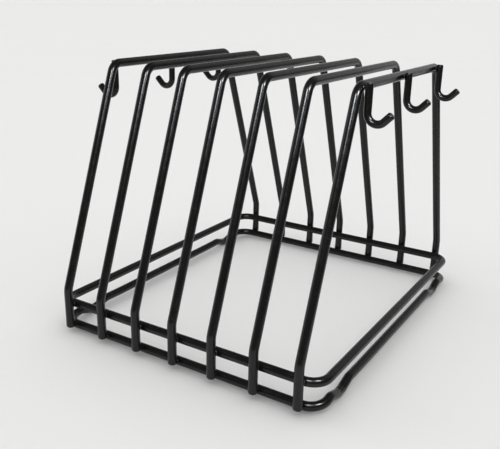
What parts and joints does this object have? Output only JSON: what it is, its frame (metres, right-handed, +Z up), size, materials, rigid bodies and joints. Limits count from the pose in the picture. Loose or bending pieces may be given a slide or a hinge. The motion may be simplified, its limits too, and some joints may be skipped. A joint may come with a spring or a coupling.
{
  "type": "cutting board rack",
  "caption": "Free-standing rack of welded, coated round wire: bent arches on a looped base hold boards or trays on edge, with J hooks on both sides.",
  "frame": {"origin": "on the floor under the middle of the rack, at the bottom centre of its box", "axes": "+X across the slots, +Y along each slot from front to rear, +Z up"},
  "size_m": [0.2838, 0.3218, 0.2334],
  "materials": {
    "coated_wire": "smooth black dip or powder coating, satin gloss"
  },
  "bodies": {
    "root": {"arch_wire_1": "coated_wire", "arch_wire_2": "coated_wire", "arch_wire_3": "coated_wire", "arch_wire_4": "coated_wire", "arch_wire_5": "coated_wire", "arch_wire_6": "coated_wire", "arch_wire_7": "coated_wire", "upper_base_loop": "coated_wire", "lower_base_loop": "coated_wire", "hook_left_front": "coated_wire", "hook_left_middle": "coated_wire", "hook_left_rear": "coated_wire", "hook_right_front": "coated_wire", "hook_right_middle": "coated_wire", "hook_right_rear": "coated_wire"}
  },
  "joints": []
}
